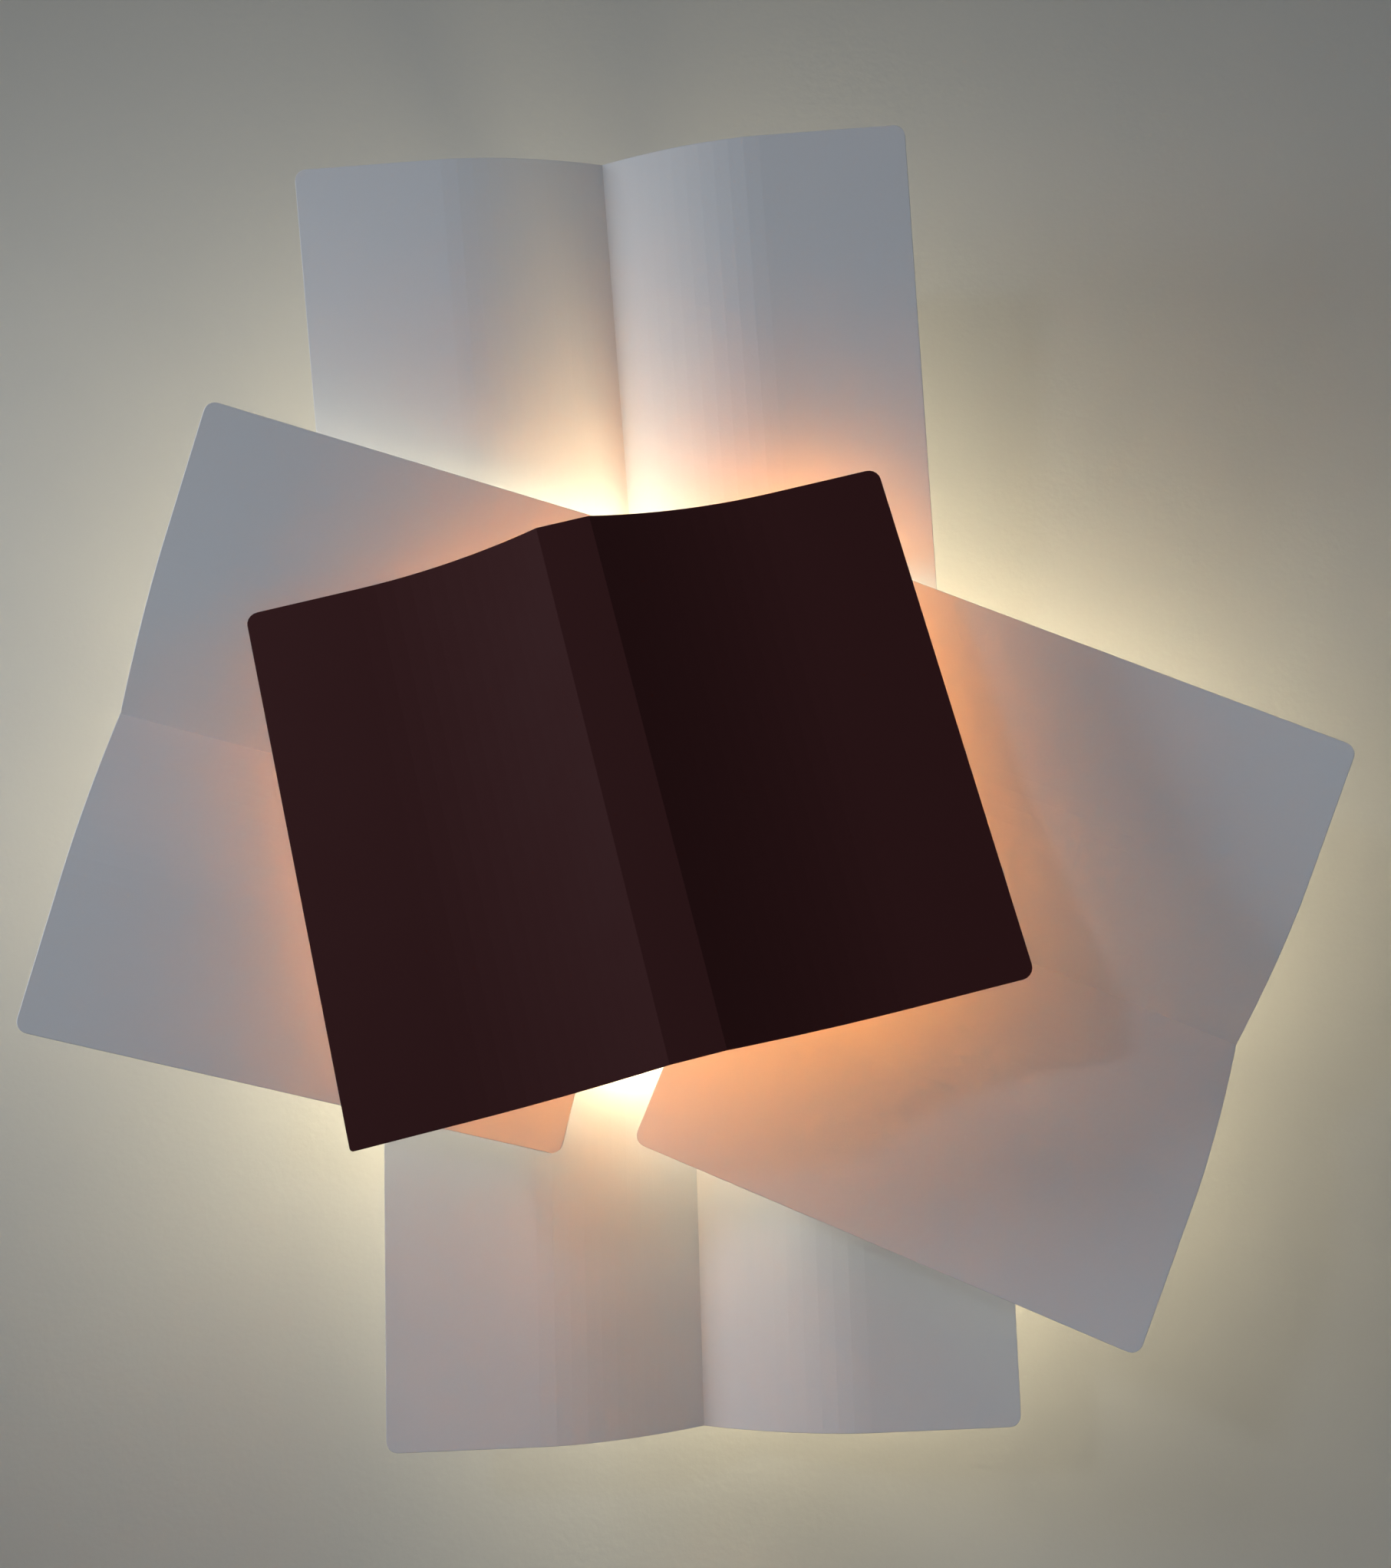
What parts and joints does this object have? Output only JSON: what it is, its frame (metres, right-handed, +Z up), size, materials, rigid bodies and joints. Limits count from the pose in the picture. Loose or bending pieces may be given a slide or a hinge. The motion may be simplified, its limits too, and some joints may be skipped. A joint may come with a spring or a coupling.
{
  "type": "wall lamp",
  "caption": "Wall lamp of bent aluminium sheets that turn on friction swivels round capsule lamps, with a round canopy hidden behind them.",
  "frame": {"origin": "middle of the wall plate's flat back, on the wall", "axes": "+Z up, +Y into the wall, so the lamp stands out along -Y"},
  "size_m": [0.6697, 0.1995, 0.6998],
  "materials": {
    "white_coat": "matt powder coat",
    "dark_coat": "matt powder coat",
    "zinc": "zinc plated",
    "bright_steel": "bright",
    "cast_aluminium": "as cast",
    "ceramic": "glazed ceramic",
    "opal_glass": "opal",
    "black_rubber": "matt",
    "nylon": "matt",
    "silicone_sleeve": "matt",
    "white_polyamide": "matt"
  },
  "bodies": {
    "base": {"wall_plate": "zinc", "grommet": "black_rubber", "post_1": "zinc", "post_2": "zinc", "post_3": "zinc", "spider_screw_1": "bright_steel", "spider_screw_2": "bright_steel", "spider_screw_3": "bright_steel", "canopy": "white_coat", "earth_screw": "bright_steel", "terminal_block": "white_polyamide", "spider": "zinc", "friction_washer_top": "nylon", "friction_washer_bottom": "nylon", "friction_washer_left": "nylon", "friction_washer_right": "nylon", "friction_washer_front": "nylon", "tower_rod": "zinc", "spacer_rear": "zinc", "spacer_front": "zinc", "rod_nut_rear": "bright_steel", "rod_nut_front": "bright_steel", "yoke": "zinc", "lamp_bracket": "zinc", "holder_upper": "ceramic", "holder_lower": "ceramic", "holder_screw_upper_left": "bright_steel", "holder_screw_upper_right": "bright_steel", "holder_screw_lower_left": "bright_steel", "holder_screw_lower_right": "bright_steel", "bulb_base_upper": "white_polyamide", "bulb_base_lower": "white_polyamide", "bulb_glass_upper": "opal_glass", "bulb_glass_lower": "opal_glass", "lead_bush": "black_rubber", "lead_upper": "silicone_sleeve", "lead_lower": "silicone_sleeve"},
    "top_leaf": {"sheet_top": "white_coat", "saddle_top": "cast_aluminium", "stem_top": "zinc", "nut_top": "bright_steel"},
    "bottom_leaf": {"sheet_bottom": "white_coat", "saddle_bottom": "cast_aluminium", "stem_bottom": "zinc", "nut_bottom": "bright_steel"},
    "left_leaf": {"sheet_left": "white_coat", "saddle_left": "cast_aluminium", "stem_left": "zinc", "nut_left": "bright_steel"},
    "right_leaf": {"sheet_right": "white_coat", "saddle_right": "cast_aluminium", "stem_right": "zinc", "nut_right": "bright_steel"},
    "front_leaf": {"sheet_front": "dark_coat", "saddle_front": "cast_aluminium", "stem_front": "zinc", "nut_front": "bright_steel"}
  },
  "joints": [
    {"name": "top_swivel", "type": "hinge", "parent": "base", "child": "top_leaf", "pos_m": [-0.022, -0.0455, 0.129], "axis": [0, 1, 0], "range_deg": [-6, 6]},
    {"name": "bottom_swivel", "type": "hinge", "parent": "base", "child": "bottom_leaf", "pos_m": [0.01, -0.036, -0.0885], "axis": [0, 1, 0], "range_deg": [-6, 6]},
    {"name": "left_swivel", "type": "hinge", "parent": "base", "child": "left_leaf", "pos_m": [-0.0596, -0.066, -0.0088], "axis": [0, 1, 0], "range_deg": [-6, 6]},
    {"name": "right_swivel", "type": "hinge", "parent": "base", "child": "right_leaf", "pos_m": [0.0602, -0.064, -0.0263], "axis": [0, 1, 0], "range_deg": [-6, 6]},
    {"name": "front_swivel", "type": "hinge", "parent": "base", "child": "front_leaf", "pos_m": [-0.0156, -0.1845, -0.035], "axis": [0, 1, 0], "range_deg": [-12, 12]}
  ]
}
